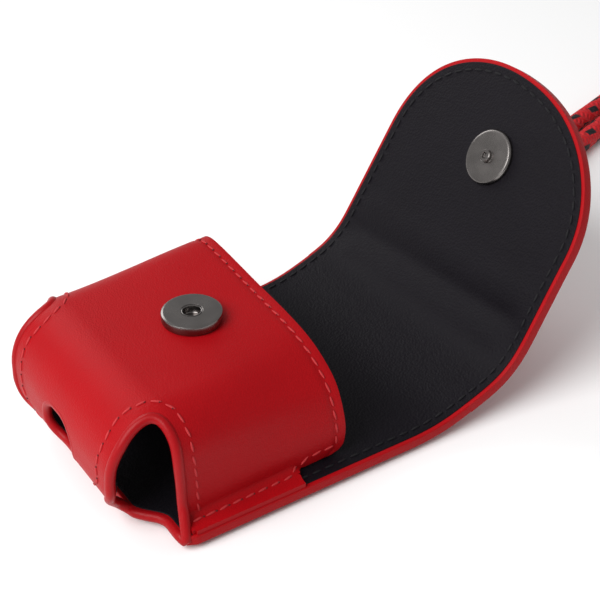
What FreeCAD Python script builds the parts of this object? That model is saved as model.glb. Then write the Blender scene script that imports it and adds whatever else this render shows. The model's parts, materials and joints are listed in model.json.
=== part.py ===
"""Leather ever ready case: a lined pocket on a stiffened back panel whose long end folds
over the front as a flap and is held by a magnetic snap, with a braided wrist strap.

The case lies on its back with the flap open. X runs across the case, Y from the closed
bottom end of the pocket to its mouth and on along the flap, Z up. It is drawn with Y = 0 at
the pocket's bottom end and written with its origin on the surface it lies on, under the
middle of its outline without the cord. Sizes in mm.
"""
import FreeCAD
import Part
import Sketcher
import math
import os
from FreeCAD import Placement, Rotation, Vector

DIMS = {
    # leather sheet shared by the back panel, the spine and the flap
    "leather_thick": 1.2,
    "board_thick": 0.6,
    "lining_thick": 0.9,
    "edge_turn": 0.9,
    "sheet_half_width": 36.2,
    # back panel
    "panel_lift": 1.2,
    "panel_start": 10.9,
    "panel_corner": 13.4,
    "crease_y": 70.3,
    "crease_gap": 0.3,
    # spine between the two creases, and the flap beyond it
    "spine_length": 33.5,
    "spine_rise": 20.5,
    "flap_rise": 57.6,
    "flap_straight": 24.2,
    "flap_length": 55.7,
    "flap_corner": 24.0,
    # pocket
    "pocket_half_width": 32.1,
    "pocket_length": 54.6,
    "pocket_height": 29.2,
    "pocket_edge_radius": 11.0,
    "flange_end": 42.3,
    "free_edge_lift": 1.0,
    "mouth_corner": 5.0,
    "lining_set_back": 0.8,
    # open corners at the bottom end and the hole between them
    "arch_inner_x": 20.5,
    "arch_side_y": 12.6,
    "arch_spring": 13.5,
    "arch_top": 25.6,
    "binding_width": 1.6,
    "binding_proud": 0.35,
    "hole_height": 11.6,
    "hole_half_length": 6.6,
    "hole_radius": 5.4,
    # magnetic snap
    "snap_y": 34.7,
    "snap_radius": 7.0,
    "cap_height": 2.5,
    "socket_radius": 2.3,
    "socket_depth": 1.8,
    "post_radius": 2.0,
    "washer_thick": 0.5,
    "disc_height": 1.4,
    "stud_radius": 1.5,
    "stud_height": 1.3,
    # strap, its ring and its ferrule
    "tab_half_width": 9.0,
    "tab_start": 26.0,
    "ring_bar_y": 81.5,
    "ring_wire": 0.75,
    "ring_reach": 9.5,
    "ferrule_neck": 5.2,
    "ferrule_length": 13.0,
    "ferrule_turn": 25.0,
    "cord_radius": 3.0,
    "cord_pitch": 6.8,
    # from the pocket's bottom end to the origin
    "origin_y": 65.9,
}

doc = FreeCAD.newDocument("ever_ready_case")
sheet = doc.addObject("Spreadsheet::Sheet", "dims")
for row, (alias, value) in enumerate(DIMS.items(), start=1):
    sheet.set(f"A{row}", alias)
    sheet.set(f"B{row}", str(value))
    sheet.setAlias(f"B{row}", alias)
doc.recompute()

NODES = []
SHEET_THICK = "(dims.leather_thick + dims.board_thick + dims.lining_thick)"


def dim(alias):
    """A driving dimension's value, read from the spreadsheet."""
    return float(sheet.get(alias))


def sheet_thick():
    return dim("leather_thick") + dim("board_thick") + dim("lining_thick")


def mid_height():
    """Height of the middle of the back panel's thickness, where the first crease folds."""
    return dim("panel_lift") + sheet_thick() / 2


def node(obj, label):
    """Name an object as a finished sub-part."""
    obj.Label = label
    NODES.append(obj)
    return obj


def bind(obj, **expressions):
    """Bind properties to spreadsheet expressions; a double underscore stands for a dot."""
    for name, expression in expressions.items():
        obj.setExpression(name.replace("__", "."), expression)
    return obj


def frame_of(where):
    """Placement expressions of the flat frames: the panel, the spine and the flap.

    Each has its X axis on the middle of the sheet at its crease, Y along the sheet and Z
    towards the lining.
    """
    mid = f"(dims.panel_lift + {SHEET_THICK} / 2)"
    if where == "panel":
        return "0", mid, 0.0, None
    if where == "spine":
        return "dims.crease_y", mid, dim("spine_rise"), "dims.spine_rise"
    y = "dims.crease_y + dims.spine_length * cos(dims.spine_rise)"
    z = f"{mid} + dims.spine_length * sin(dims.spine_rise)"
    return y, z, dim("flap_rise"), "dims.flap_rise"


def put_in(obj, where):
    """Place an object drawn flat in one of the three frames."""
    y, z, angle, angle_expression = frame_of(where)
    obj.Placement = Placement(Vector(0, 0, 0), Rotation(Vector(1, 0, 0), angle))
    bind(obj, Placement__Base__y=y, Placement__Base__z=z)
    if angle_expression:
        bind(obj, Placement__Rotation__Angle=angle_expression)
    return obj


def frame_placement(where):
    """The same frame as a plain placement, for shapes that are made in code."""
    mid = mid_height()
    if where == "panel":
        return Placement(Vector(0, 0, mid), Rotation())
    rise = math.radians(dim("spine_rise"))
    if where == "spine":
        return Placement(Vector(0, dim("crease_y"), mid), Rotation(Vector(1, 0, 0), dim("spine_rise")))
    y = dim("crease_y") + dim("spine_length") * math.cos(rise)
    z = mid + dim("spine_length") * math.sin(rise)
    return Placement(Vector(0, y, z), Rotation(Vector(1, 0, 0), dim("flap_rise")))


def plane(body, role):
    return next(f for f in body.Origin.OriginFeatures if f.Role == role)


def new_sketch(body, name, offset="0"):
    sketch = body.newObject("Sketcher::SketchObject", name)
    sketch.AttachmentSupport = [(plane(body, "XY_Plane"), "")]
    sketch.MapMode = "FlatFace"
    bind(sketch, AttachmentOffset__Base__z=offset)
    return sketch


def constrain(sketch, name, expression, *args):
    index = sketch.addConstraint(Sketcher.Constraint(*args))
    sketch.renameConstraint(index, name)
    sketch.setExpression(f"Constraints.{name}", expression)


def rectangle(sketch, half_width, low, high, values):
    """A rectangle across X = 0 from low to high along Y, bound to three expressions."""
    hw, y0, y1 = values
    corners = [(-hw, y0), (hw, y0), (hw, y1), (-hw, y1)]
    for i in range(4):
        a, b = corners[i], corners[(i + 1) % 4]
        sketch.addGeometry(Part.LineSegment(Vector(*a, 0), Vector(*b, 0)), False)
    for i in range(4):
        sketch.addConstraint(Sketcher.Constraint("Coincident", i, 2, (i + 1) % 4, 1))
    for i, kind in enumerate(("Horizontal", "Vertical", "Horizontal", "Vertical")):
        sketch.addConstraint(Sketcher.Constraint(kind, i))
    constrain(sketch, "right", half_width, "DistanceX", -1, 1, 1, 1, hw)
    constrain(sketch, "left", half_width, "DistanceX", 3, 2, -1, 1, hw)
    constrain(sketch, "low", low, "DistanceY", -1, 1, 0, 1, y0)
    constrain(sketch, "high", high, "DistanceY", -1, 1, 1, 2, y1)


def pad(body, sketch, name, length):
    feature = body.newObject("PartDesign::Pad", name)
    feature.Profile = sketch
    feature.setExpression("Length", length)
    sketch.Visibility = False
    return feature


def plate(label, where, half_width, low, high, base, thick, values):
    """A rectangular layer of the sheet as a body: one sketch padded to its thickness."""
    body = doc.addObject("PartDesign::Body", label)
    sketch = new_sketch(body, f"{label}_outline", base)
    rectangle(sketch, half_width, low, high, values)
    pad(body, sketch, f"{label}_pad", thick)
    put_in(body, where)
    return node(body, label)


def from_code(label, shape):
    """A sub-part whose form only code can give, with its sizes read from the sheet."""
    feature = doc.addObject("Part::Feature", label)
    feature.Shape = shape
    return node(feature, label)


def wire(*edges):
    return Part.Wire([e.toShape() if hasattr(e, "toShape") else e for e in edges])


def line(a, b):
    return Part.LineSegment(Vector(*a), Vector(*b))


def arc(a, middle, b):
    return Part.Arc(Vector(*a), Vector(*middle), Vector(*b))


def solid(face, direction):
    return face.extrude(Vector(*direction))


def box(x0, x1, y0, y1, z0, z1):
    return Part.makeBox(x1 - x0, y1 - y0, z1 - z0, Vector(x0, y0, z0))


def tube(radius, length, start, axis=(0, 0, 1)):
    return Part.makeCylinder(radius, length, Vector(*start), Vector(*axis))


# ---------------------------------------------------------------- the folded sheet

OUTER_FACE = f"-{SHEET_THICK} / 2"
BOARD_BASE = f"{OUTER_FACE} + dims.leather_thick"
LINING_BASE = f"{BOARD_BASE} + dims.board_thick"
INSIDE = "dims.sheet_half_width - dims.edge_turn"


def panel_outline(inset):
    """Back panel seen from above: straight sides, and corners that give way to the arches."""
    hw = dim("sheet_half_width") - inset
    end = dim("crease_y") - sheet_thick() / 2 - dim("crease_gap")
    low, corner = dim("panel_start") + inset, dim("panel_corner") + inset
    sx = dim("arch_inner_x") + 4.0 - inset
    right = [(sx, low), (sx + 4.5, corner - 0.6), (hw - 1.5, corner), (hw, corner + 1.5), (hw, end)]
    points = right + [(-x, y) for x, y in reversed(right)]
    return Part.Face(Part.makePolygon([Vector(x, y, 0) for x, y in points + points[:1]]))


def panel_layer(inset, base, thick):
    face = panel_outline(inset)
    face.translate(Vector(0, 0, base))
    return solid(face, (0, 0, thick))


def make_back_panel():
    """Leather tray with its edge turned up, a stiffening board and the lining inside it."""
    turn, full = dim("edge_turn"), sheet_thick()
    skin, board = dim("leather_thick"), dim("board_thick")
    z = dim("panel_lift")
    tray = panel_layer(0, z, full).cut(panel_layer(turn, z + skin, full))
    from_code("back_panel_leather", tray)
    from_code("back_panel_board", panel_layer(turn, z + skin, board))
    from_code("back_panel_lining", panel_layer(turn, z + skin + board, dim("lining_thick")))


def make_spine():
    """Stiff strip between the creases; its leather carries the rolled fold at each end."""
    half = sheet_thick() / 2
    hw, length, turn = dim("sheet_half_width"), dim("spine_length"), dim("edge_turn")
    skin = dim("leather_thick")
    tray = box(-hw, hw, 0, length, -half, half)
    tray = tray.cut(box(-hw + turn, hw - turn, half, length - half, -half + skin, half + 1))
    for y in (0, length):
        tray = tray.fuse(tube(half, 2 * hw, (-hw, y, 0), (1, 0, 0)))
    leather = from_code("spine_leather", tray.removeSplitter())
    leather.Placement = frame_placement("spine")
    y0, y1 = half, length - half
    low, high = f"{SHEET_THICK} / 2", f"dims.spine_length - {SHEET_THICK} / 2"
    plate("spine_board", "spine", INSIDE, low, high, BOARD_BASE, "dims.board_thick", (hw - turn, y0, y1))
    plate("spine_lining", "spine", INSIDE, low, high, LINING_BASE, "dims.lining_thick", (hw - turn, y0, y1))


def flap_sketch(sketch, inset, inset_expression):
    """Flap outline: straight sides, two corner arcs and a flatter arc across the tip."""
    hw = dim("sheet_half_width") - inset
    corner = dim("flap_corner") - inset
    side, tip = dim("flap_straight"), dim("flap_length") - inset
    base = sheet_thick() / 2 + dim("crease_gap") + inset
    cx = hw - corner
    k = (cx**2 - (tip - side - corner) ** 2) / (2 * (tip - side - corner))
    big = k + tip - side
    centre = side - k
    reach = math.atan2(k, cx)
    meet = (big * math.cos(reach), centre + big * math.sin(reach))
    add = sketch.addGeometry
    add(Part.LineSegment(Vector(-hw, base, 0), Vector(hw, base, 0)))
    add(Part.LineSegment(Vector(hw, base, 0), Vector(hw, side, 0)))
    circle = Part.Circle(Vector(cx, side, 0), Vector(0, 0, 1), corner)
    add(Part.ArcOfCircle(circle, 0, reach))
    circle = Part.Circle(Vector(0, centre, 0), Vector(0, 0, 1), big)
    add(Part.ArcOfCircle(circle, reach, math.pi - reach))
    circle = Part.Circle(Vector(-cx, side, 0), Vector(0, 0, 1), corner)
    add(Part.ArcOfCircle(circle, math.pi - reach, math.pi))
    add(Part.LineSegment(Vector(-hw, side, 0), Vector(-hw, base, 0)))
    rule = lambda *args: sketch.addConstraint(Sketcher.Constraint(*args))
    rule("Horizontal", 0)
    rule("Vertical", 1)
    rule("Vertical", 5)
    rule("Coincident", 0, 2, 1, 1)
    rule("Tangent", 1, 2, 2, 1)
    rule("Tangent", 2, 2, 3, 1)
    rule("Tangent", 3, 2, 4, 1)
    rule("Tangent", 4, 2, 5, 1)
    rule("Coincident", 5, 2, 0, 1)
    rule("PointOnObject", 3, 3, -2)
    constrain(sketch, "right", f"dims.sheet_half_width - {inset_expression}", "DistanceX", -1, 1, 0, 2, hw)
    constrain(sketch, "left", f"dims.sheet_half_width - {inset_expression}", "DistanceX", 0, 1, -1, 1, hw)
    constrain(sketch, "base", f"{SHEET_THICK} / 2 + dims.crease_gap + {inset_expression}", "DistanceY", -1, 1, 0, 1, base)
    constrain(sketch, "side", "dims.flap_straight", "DistanceY", -1, 1, 1, 2, side)
    constrain(sketch, "corner", f"dims.flap_corner - {inset_expression}", "Radius", 2, corner)
    constrain(sketch, "other", f"dims.flap_corner - {inset_expression}", "Radius", 4, corner)
    constrain(
        sketch,
        "tip",
        f"(({'dims.sheet_half_width'} - dims.flap_corner)^2 - (dims.flap_length - {inset_expression} - dims.flap_straight"
        f" - dims.flap_corner + {inset_expression})^2) / (2 * (dims.flap_length - dims.flap_straight - dims.flap_corner))"
        f" + dims.flap_length - {inset_expression} - dims.flap_straight",
        "Radius",
        3,
        big,
    )


def make_flap():
    """Front flap with a rounded tip, in the same three layers."""
    turn = dim("edge_turn")
    leather = doc.addObject("PartDesign::Body", "flap_leather")
    outline = new_sketch(leather, "flap_leather_outline", OUTER_FACE)
    flap_sketch(outline, 0.0, "0 * dims.edge_turn")
    pad(leather, outline, "flap_leather_pad", SHEET_THICK)
    inner = new_sketch(leather, "flap_leather_recess", f"{SHEET_THICK} / 2")
    flap_sketch(inner, turn, "dims.edge_turn")
    recess = leather.newObject("PartDesign::Pocket", "flap_leather_tray")
    recess.Profile = inner
    recess.setExpression("Length", "dims.board_thick + dims.lining_thick")
    put_in(leather, "flap")
    node(leather, "flap_leather")
    hole = dim("post_radius")
    for label, base, thick in (
        ("flap_board", BOARD_BASE, "dims.board_thick"),
        ("flap_lining", LINING_BASE, "dims.lining_thick"),
    ):
        body = doc.addObject("PartDesign::Body", label)
        sketch = new_sketch(body, f"{label}_outline", base)
        flap_sketch(sketch, turn, "dims.edge_turn")
        reach = dim("crease_y") - dim("snap_y")
        number = sketch.addGeometry(Part.Circle(Vector(0, reach, 0), Vector(0, 0, 1), hole))
        constrain(sketch, "hole", "dims.post_radius", "Radius", number, hole)
        sketch.addConstraint(Sketcher.Constraint("PointOnObject", number, 3, -2))
        constrain(sketch, "reach", "dims.crease_y - dims.snap_y", "DistanceY", -1, 1, number, 3, reach)
        pad(body, sketch, f"{label}_pad", thick)
        put_in(body, "flap")
        node(body, label)


# ---------------------------------------------------------------- the pocket


def pocket_block(inset, length, proud=0.0):
    """Outside of the pocket as a block: round bottom end, flat front, rounded long edges.

    inset draws it that much smaller all round, for the inside of a wall; its walls below
    the middle then run on down through the back panel's thickness.
    """
    grow = proud - inset
    hw = dim("pocket_half_width") + grow
    lift, height = dim("panel_lift"), dim("pocket_height")
    middle, radius = lift + height / 2, height / 2 + grow
    centre = height / 2
    base, top, start = middle - radius, middle + radius, centre - radius
    profile = wire(
        line((-hw, centre, base), (-hw, length, base)),
        line((-hw, length, base), (-hw, length, top)),
        line((-hw, length, top), (-hw, centre, top)),
        arc((-hw, centre, top), (-hw, start, middle), (-hw, centre, base)),
    )
    block = solid(Part.Face(profile), (2 * hw, 0, 0))
    along = [e for e in block.Edges if abs(abs(e.CenterOfMass.x) - hw) < 1e-6 and e.CenterOfMass.y < length - 1e-3]
    block = block.makeFillet(dim("pocket_edge_radius") + grow, along)
    foot = base if inset == 0 else lift - 2.0
    return block.fuse(box(-hw, hw, centre, length, foot, middle)).removeSplitter()


def arch_cutter(grow, side):
    """Space of one open corner: straight sides, round top, seen along the corner's diagonal."""
    x0, y1 = dim("arch_inner_x") - grow, dim("arch_side_y") + grow
    spring, top = dim("panel_lift") + dim("arch_spring"), dim("panel_lift") + dim("arch_top") + grow
    out = 60.0
    plan = [
        (x0, -out), (x0, 5.5 + grow), (x0 + 4.5, 10.5 + grow),
        (x0 + 9.0, y1), (out, y1), (out, -out),
    ]
    prism = solid(Part.Face(Part.makePolygon([Vector(x, y, -5) for x, y in plan + plan[:1]])), (0, 0, 60))
    a, b = Vector(x0, 0, 0), Vector(dim("pocket_half_width"), y1, 0)
    across = (b - a).normalize()
    half = (b - a).Length / 2
    outward = Vector(across.y, -across.x, 0)
    middle = (a + b) * 0.5 - outward * 30
    rise = top - spring
    p0, p1 = middle - across * half, middle + across * half
    start = Vector(p0.x, p0.y, -5)
    end = Vector(p1.x, p1.y, -5)
    s0, s1 = Vector(p0.x, p0.y, spring), Vector(p1.x, p1.y, spring)
    centre = Vector(middle.x, middle.y, spring)
    ellipse = Part.Ellipse(centre + Vector(0, 0, rise), centre + across * half, centre)
    crown = Part.ArcOfEllipse(ellipse, -math.pi / 2, math.pi / 2).toShape()
    foot, head = (s0, s1) if (crown.Vertexes[0].Point - s0).Length < 1e-3 else (s1, s0)
    low_foot, low_head = (start, end) if foot is s0 else (end, start)
    sides = [line(low_foot, foot).toShape(), crown, line(head, low_head).toShape(), line(low_head, low_foot).toShape()]
    face = Part.Face(Part.Wire(sides))
    arch = face.extrude(outward * 80)
    cutter = arch.common(prism)
    return cutter if side > 0 else cutter.mirror(Vector(0, 0, 0), Vector(1, 0, 0))


def hole_cutter(grow):
    """Oval hole through the bottom end: two half rounds joined by short straights."""
    radius = dim("hole_radius") + grow
    reach = dim("hole_half_length") - dim("hole_radius")
    z = dim("panel_lift") + dim("hole_height")
    slot = box(-reach, reach, -10, 8, z - radius, z + radius)
    for x in (-reach, reach):
        slot = slot.fuse(tube(radius, 18, (x, -10, z), (0, 1, 0)))
    return slot.removeSplitter()


def lower_clear(z_flange, z_free):
    """What is cut from under a wall: the sheet, and a little more past the flanges."""
    end = dim("flange_end")
    big = 60
    under = box(-big, big, dim("panel_start"), big * 2, -10, z_flange)
    return under.fuse(box(-big, big, end, big * 2, -10, z_free))


def mouth_rounding(inset):
    """Rounded lower corners of the mouth, cut through both side walls."""
    radius = dim("mouth_corner")
    y, z = dim("pocket_length") - inset, panel_top() + dim("free_edge_lift")
    corner = box(-60, 60, y - radius, y + 20, z - 5, z + radius)
    return corner.cut(tube(radius, 120, (-60, y - radius, z + radius), (1, 0, 0)))


def panel_top():
    return dim("panel_lift") + sheet_thick()


def make_pocket():
    """Leather shell with flanges sewn to the back panel, its lining, and the bound openings."""
    skin, lining = dim("leather_thick"), dim("lining_thick")
    length = dim("pocket_length")
    bind_w, proud = dim("binding_width"), dim("binding_proud")
    deep = length + 20
    outer, inner = pocket_block(0, length), pocket_block(skin, deep)
    core = pocket_block(skin + lining, deep)
    under = lower_clear(panel_top(), panel_top() + dim("free_edge_lift"))
    wide_cuts = [arch_cutter(bind_w, 1), arch_cutter(bind_w, -1), hole_cutter(bind_w)]
    post = tube(dim("post_radius"), 20, (0, dim("snap_y"), dim("panel_lift") + dim("pocket_height") - 10))

    shell = outer.cut(inner).cut(under).cut(mouth_rounding(0))
    flange_x = dim("sheet_half_width")
    wall = dim("pocket_half_width")
    for side in (1, -1):
        x0, x1 = sorted((side * (wall - skin), side * flange_x))
        flange = box(x0, x1, dim("panel_corner") + 1.5, dim("flange_end"), panel_top(), panel_top() + skin)
        shell = shell.fuse(flange)
    leather = shell.removeSplitter()
    for cutter in wide_cuts + [post]:
        leather = leather.cut(cutter)
    from_code("pocket_leather", leather)

    lined = inner.cut(core).common(box(-60, 60, -5, length - dim("lining_set_back"), 0, 60))
    lined = lined.cut(lower_clear(panel_top(), panel_top() + dim("free_edge_lift") + 0.4)).cut(mouth_rounding(dim("lining_set_back")))
    for cutter in wide_cuts + [post]:
        lined = lined.cut(cutter)
    from_code("pocket_lining", lined)

    fat = pocket_block(0, length, proud).cut(pocket_block(skin + lining + proud, deep))
    fat = fat.cut(box(-60, 60, dim("panel_start"), 80, -10, panel_top()))
    for label, side in (("near_corner_binding", 1), ("far_corner_binding", -1)):
        band = fat.common(arch_cutter(bind_w, side)).cut(arch_cutter(0, side))
        band = band.cut(box(-60, 60, -20, 80, -10, dim("panel_lift")))
        from_code(label, largest(band))
    band = fat.common(hole_cutter(bind_w)).cut(hole_cutter(0))
    from_code("push_hole_binding", largest(band))


def largest(shape):
    """The main solid of a cut, without slivers."""
    return max(shape.Solids, key=lambda s: s.Volume)


# ---------------------------------------------------------------- the magnetic snap


def make_snap():
    """Female half riveted through the pocket's front; male half on the flap's lining."""
    front = dim("panel_lift") + dim("pocket_height")
    y, r = dim("snap_y"), dim("snap_radius")
    cap_h, socket = dim("cap_height"), dim("socket_radius")
    cap = tube(r, cap_h, (0, y, front))
    cap = cap.makeChamfer(0.45, [e for e in cap.Edges if e.Closed and abs(e.CenterOfMass.z - front - cap_h) < 1e-6])
    cap = cap.cut(tube(socket, dim("socket_depth"), (0, y, front + cap_h - dim("socket_depth"))))
    seat = tube(r - 1.2, cap_h - 1.1, (0, y, front)).cut(tube(socket + 0.5, cap_h, (0, y, front)))
    from_code("snap_female_cap", cap.cut(seat))
    magnet = seat.common(tube(r, cap_h - 1.1, (0, y, front)))
    from_code("snap_magnet", magnet)
    inside = front - dim("leather_thick") - dim("lining_thick")
    from_code("snap_female_post", tube(dim("post_radius"), front - inside, (0, y, inside)))
    washer = tube(r - 0.5, dim("washer_thick"), (0, y, inside - dim("washer_thick")))
    from_code("snap_female_washer", washer)

    half, reach = sheet_thick() / 2, dim("crease_y") - dim("snap_y")
    disc = tube(r, dim("disc_height"), (0, reach, half))
    disc = disc.makeChamfer(0.35, [e for e in disc.Edges if e.Closed and e.CenterOfMass.z > half + 1e-3])
    stud = tube(dim("stud_radius"), dim("stud_height"), (0, reach, half + dim("disc_height")))
    stud = stud.makeChamfer(0.3, [e for e in stud.Edges if e.Closed and e.CenterOfMass.z > half + dim("disc_height") + 0.1])
    post = tube(dim("post_radius"), half + half - dim("leather_thick"), (0, reach, -half + dim("leather_thick")))
    for label, shape in (("snap_male_disc", disc), ("snap_male_stud", stud), ("snap_male_post", post)):
        from_code(label, shape).Placement = frame_placement("flap")


# ---------------------------------------------------------------- strap


def make_strap_tab():
    """Leather strip sewn to the outside of the back panel, folded round the ring's bar."""
    hw, start, bar = dim("tab_half_width"), dim("tab_start"), dim("ring_bar_y")
    wire_r, skin = dim("ring_wire") + 0.1, dim("leather_thick") - 0.1
    outer_r = wire_r + skin
    strip = box(-hw, hw, start, bar, 0, skin)
    fold = tube(outer_r, 2 * hw, (-hw, bar, outer_r), (1, 0, 0)).common(box(-hw, hw, bar, bar + 9, -1, 9))
    back = box(-hw, hw, bar - 2.2, bar, 2 * outer_r - skin, 2 * outer_r)
    strip = strip.fuse(fold).fuse(back).cut(tube(wire_r, 2 * hw + 2, (-hw - 1, bar, outer_r), (1, 0, 0)))
    sewn = box(-hw, hw, start, dim("crease_y") - 5, 0, dim("panel_lift"))
    from_code("strap_tab", largest(strip.fuse(sewn).removeSplitter()))


def ring_centre():
    return dim("leather_thick") - 0.1 + dim("ring_wire") + 0.1


def make_ring():
    """Rectangular wire ring with round corners; its bar lies in the tab's fold."""
    r, bar, z = dim("ring_wire"), dim("ring_bar_y"), ring_centre()
    hw, reach, corner = dim("tab_half_width") + 1.6, dim("ring_reach"), 1.5
    k = corner * (1 - math.sqrt(0.5))
    y1 = bar + reach
    path = wire(
        line((-hw + corner, bar, z), (hw - corner, bar, z)),
        arc((hw - corner, bar, z), (hw - k, bar + k, z), (hw, bar + corner, z)),
        line((hw, bar + corner, z), (hw, y1 - corner, z)),
        arc((hw, y1 - corner, z), (hw - k, y1 - k, z), (hw - corner, y1, z)),
        line((hw - corner, y1, z), (-hw + corner, y1, z)),
        arc((-hw + corner, y1, z), (-hw + k, y1 - k, z), (-hw, y1 - corner, z)),
        line((-hw, y1 - corner, z), (-hw, bar + corner, z)),
        arc((-hw, bar + corner, z), (-hw + k, bar + k, z), (-hw + corner, bar, z)),
    )
    section = Part.Wire([Part.Circle(Vector(0, bar, z), Vector(1, 0, 0), r).toShape()])
    from_code("strap_ring", path.makePipeShell([section], True, False))


def strap_frame():
    """Middle of the ring's far bar, which way the ferrule leaves it, and across that."""
    turn = math.radians(dim("ferrule_turn"))
    along = Vector(-math.sin(turn), math.cos(turn), 0)
    start = Vector(0, dim("ring_bar_y") + dim("ring_reach"), 0)
    return start, along, Vector(along.y, -along.x, 0)


def make_ferrule():
    """Crimped metal ferrule that holds both ends of the cord, with an eye round the ring."""
    start, along, across = strap_frame()
    r, half, length = dim("cord_radius") + 0.5, dim("cord_pitch") / 2, dim("ferrule_length")
    first = start + along * dim("ferrule_neck")
    body = None
    for side in (-1, 1):
        centre = first + across * (side * half)
        barrel = tube(r, length, (centre.x, centre.y, r), tuple(along))
        body = barrel if body is None else body.fuse(barrel)
    a = first - across * half
    slab = Part.makeBox(2 * half, length, 2 * r)
    slab.Placement = Placement(Vector(a.x, a.y, 0), Rotation(Vector(0, 0, 1), dim("ferrule_turn")))
    from_code("strap_ferrule", body.fuse(slab).removeSplitter())

    eye_r, wire_r, z = 2.25, 0.55, 2.85
    eye = Part.makeTorus(eye_r, wire_r, Vector(start.x, start.y, z), Vector(across.x, across.y, 0))
    begin = start + along * (eye_r - 0.2)
    neck = tube(0.9, dim("ferrule_neck") - eye_r + 0.2, (begin.x, begin.y, z), tuple(along))
    from_code("ferrule_eye", eye.fuse(neck).removeSplitter())


CORD_ROUTE = [
    (-10.77, 106.06), (-21.5, 129.5), (-33.6, 154.0), (-47.6, 177.2), (-59.3, 202.0),
    (-67.0, 227.0), (-76.5, 251.0), (-88.0, 274.0), (-88.5, 298.5), (-70.5, 315.5),
    (-47.0, 309.5), (-36.5, 288.0), (-42.8, 264.2), (-53.5, 246.0), (-59.8, 229.5),
    (-52.3, 204.7), (-41.1, 180.7), (-26.9, 157.6), (-14.8, 132.7), (-4.61, 108.93),
]


def cord_path(points):
    """Straight runs joined by tangent arcs, each arc as large as its shorter run allows."""
    edges, radii, last = [], [], points[0]
    for before, here, after in zip(points, points[1:], points[2:]):
        a, b = (before - here), (after - here)
        turn = math.pi - a.getAngle(b)
        back = 0.45 * min(a.Length, b.Length)
        radii.append(back / math.tan(turn / 2))
        p, q = here + a.normalize() * back, here + b.normalize() * back
        centre_way = (p + q) * 0.5 - here
        bulge = radii[-1] / math.cos(turn / 2) - radii[-1]
        middle = here + centre_way.normalize() * bulge
        edges.append(Part.LineSegment(last, p).toShape())
        edges.append(Part.Arc(p, middle, q).toShape())
        last = q
    edges.append(Part.LineSegment(last, points[-1]).toShape())
    return Part.Wire(edges), radii


def make_cord():
    """Round braided cord, one length with both ends in the ferrule, lying in an open loop."""
    r = dim("cord_radius")
    points = [Vector(x, y, r) for x, y in cord_ends(CORD_ROUTE)]
    path, radii = cord_path(points)
    first = (points[1] - points[0]).normalize()
    section = Part.Wire([Part.Circle(points[0], first, r).toShape()])
    cord = path.makePipeShell([section], True, False)
    print("cord length", round(path.Length, 1), "radii", [round(v, 1) for v in radii])
    print("cord volume ratio", round(cord.Volume / (math.pi * r * r * path.Length), 4))
    from_code("strap_cord", cord)


def cord_ends(route):
    """The route with its two ends on the ferrule's outer face."""
    start, along, across = strap_frame()
    face = start + along * (dim("ferrule_neck") + dim("ferrule_length"))
    half = dim("cord_pitch") / 2
    left, right = face - across * half, face + across * half
    return [(left.x, left.y)] + list(route[1:-1]) + [(right.x, right.y)]


# ---------------------------------------------------------------- build and write


def check_and_export():
    doc.recompute()
    for obj in doc.Objects:
        bad = [s for s in obj.State if s in ("Invalid", "Error")]
        if bad:
            raise SystemExit(f"{obj.Label} is {bad}")
    labels = [n.Label for n in NODES]
    if len(set(labels)) != len(labels):
        raise SystemExit("two sub-parts share a name")
    os.makedirs("parts", exist_ok=True)
    for item in NODES:
        shape = item.Shape
        if shape.isNull() or not shape.isValid() or len(shape.Solids) != 1:
            raise SystemExit(f"{item.Label}: not one valid solid ({len(shape.Solids)} solids, valid {shape.isValid()})")
        shape = shape.translated(Vector(0, -dim("origin_y"), 0))
        b = shape.BoundBox
        print(f"{item.Label:22s} {shape.Volume:9.1f} mm3  x {b.XMin:7.2f} {b.XMax:7.2f}  y {b.YMin:7.2f} {b.YMax:7.2f}  z {b.ZMin:7.2f} {b.ZMax:7.2f}")
        shape.exportStep(f"parts/{item.Label}.step")
    print(len(NODES), "sub-parts")


make_back_panel()
make_pocket()
make_spine()
make_flap()
make_snap()
make_strap_tab()
make_ring()
make_ferrule()
make_cord()
check_and_export()
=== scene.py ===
"""Leather ever ready case: the looks of the lined red pocket, its folding flap and strap."""

from __future__ import annotations

import json
import logging
import math
import random
from dataclasses import dataclass, field
from enum import Enum
from typing import Callable, Iterable, Sequence

import bmesh
import bpy
from mathutils import Matrix, Vector
from mathutils.bvhtree import BVHTree

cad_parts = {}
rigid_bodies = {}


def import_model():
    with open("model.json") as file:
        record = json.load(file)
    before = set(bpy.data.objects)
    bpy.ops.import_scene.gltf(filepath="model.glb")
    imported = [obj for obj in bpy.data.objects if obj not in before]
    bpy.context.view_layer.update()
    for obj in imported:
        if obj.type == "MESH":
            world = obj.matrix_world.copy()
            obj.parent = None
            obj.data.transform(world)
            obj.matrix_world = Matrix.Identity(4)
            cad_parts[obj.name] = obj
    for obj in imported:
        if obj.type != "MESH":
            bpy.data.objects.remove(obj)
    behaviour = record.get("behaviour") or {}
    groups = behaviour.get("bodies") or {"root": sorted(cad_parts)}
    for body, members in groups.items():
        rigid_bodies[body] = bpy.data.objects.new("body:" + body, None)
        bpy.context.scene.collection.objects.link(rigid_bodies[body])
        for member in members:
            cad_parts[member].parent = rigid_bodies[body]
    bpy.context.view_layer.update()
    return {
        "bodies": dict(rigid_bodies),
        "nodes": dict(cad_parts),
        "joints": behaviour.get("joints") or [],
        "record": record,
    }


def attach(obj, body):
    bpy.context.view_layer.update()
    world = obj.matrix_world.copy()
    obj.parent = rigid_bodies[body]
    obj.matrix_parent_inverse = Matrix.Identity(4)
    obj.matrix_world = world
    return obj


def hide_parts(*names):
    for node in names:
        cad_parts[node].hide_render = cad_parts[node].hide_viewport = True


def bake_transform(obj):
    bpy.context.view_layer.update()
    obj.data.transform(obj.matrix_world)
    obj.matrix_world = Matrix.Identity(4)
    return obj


log = logging.getLogger("ever_ready_case")

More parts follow.
